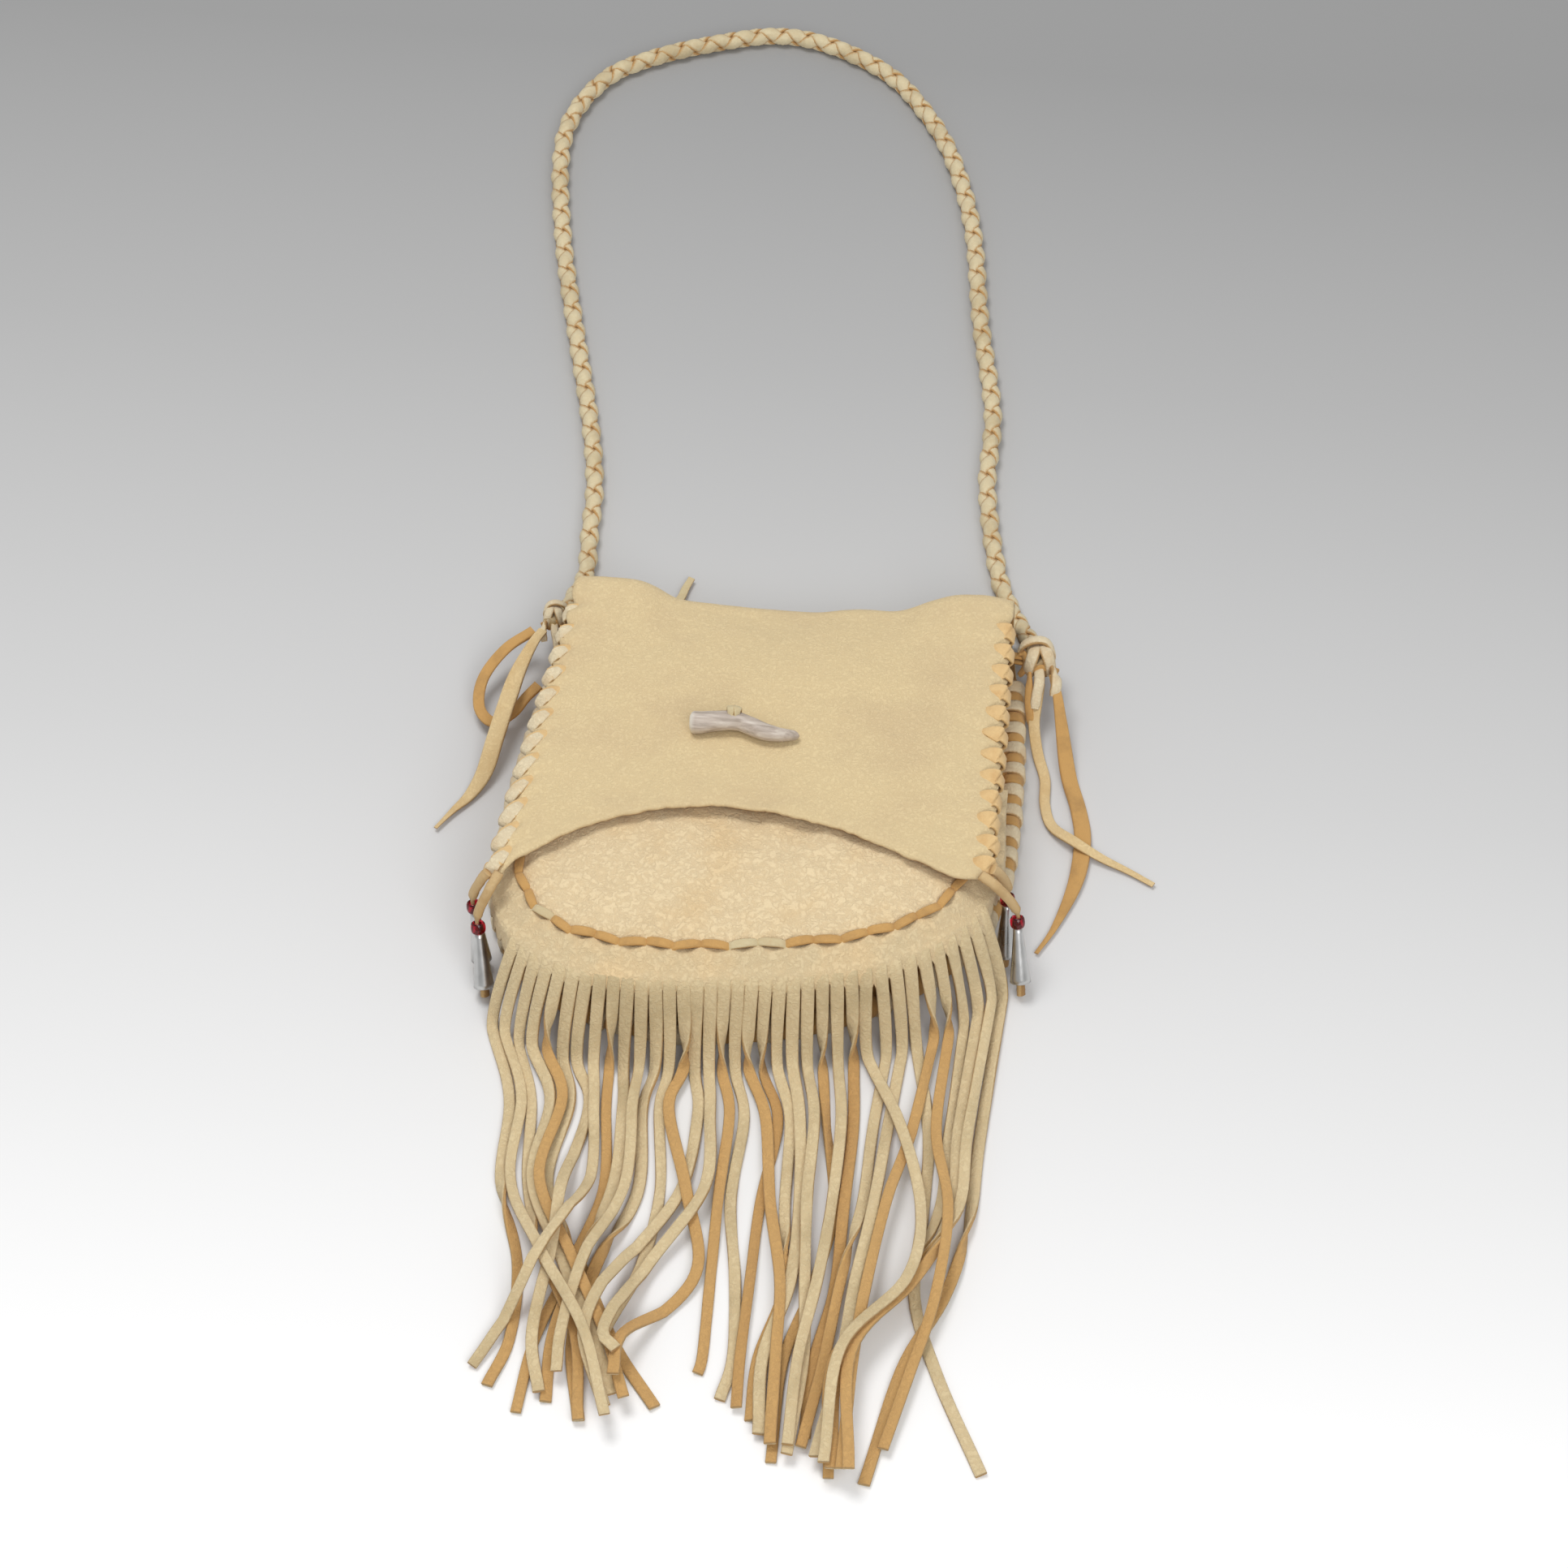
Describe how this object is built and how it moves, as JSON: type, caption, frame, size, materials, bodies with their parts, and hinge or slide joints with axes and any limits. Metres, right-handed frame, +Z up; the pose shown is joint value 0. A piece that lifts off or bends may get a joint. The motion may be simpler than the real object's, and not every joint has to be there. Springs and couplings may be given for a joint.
{
  "type": "fringed hide pouch",
  "caption": "Fringed hide shoulder pouch lying on its back: laced panels, arched flap with a bent antler toggle, beaded metal cones at its corners and a braided strap.",
  "frame": {"origin": "middle of the back panel's flat underside, on the table", "axes": "+X towards the pouch's right side seen from above, +Y from the fringe towards the strap, +Z up from the table"},
  "size_m": [0.3132, 0.8051, 0.0575],
  "materials": {
    "buckskin": "matte brain-tanned hide",
    "front_skin": "matte crumpled hide",
    "fringe_skin": "matte hide, suede on the flesh side",
    "suede": "fuzzy orange-tan suede",
    "lace_skin": "smooth tan lacing",
    "braid": "smooth pale braided thong",
    "antler": "rubbed antler tine",
    "red_glass": "glossy deep red glass",
    "tinplate": "dulled rolled tinplate"
  },
  "bodies": {
    "pouch": {"back_panel": "buckskin", "front_panel": "front_skin", "gusset": "buckskin", "fringe": "fringe_skin", "front_lace_a": "suede", "front_lace_b": "lace_skin", "back_seam_lace": "lace_skin", "strap": "braid", "strap_knot_left": "braid", "strap_knot_right": "braid", "strap_root_left": "suede", "strap_root_right": "suede", "left_loop": "suede", "left_tail": "lace_skin", "right_tail_a": "suede", "right_tail_b": "lace_skin", "back_tail": "lace_skin"},
    "flap": {"flap": "buckskin", "flap_lace_left": "lace_skin", "flap_lace_right": "lace_skin", "antler_toggle": "antler", "toggle_tie": "lace_skin", "thong_left_a": "suede", "thong_left_b": "suede", "thong_right_a": "suede", "thong_right_b": "suede", "bead_left_a": "red_glass", "bead_left_b": "red_glass", "bead_right_a": "red_glass", "bead_right_b": "red_glass", "cone_left_a": "tinplate", "cone_left_b": "tinplate", "cone_right_a": "tinplate", "cone_right_b": "tinplate"}
  },
  "joints": [
    {"name": "flap_fold", "type": "hinge", "parent": "pouch", "child": "flap", "pos_m": [0.00351, 0.1123, 0.0225], "axis": [-0.9992, -0.0389, 0], "range_deg": [0, 160]}
  ]
}
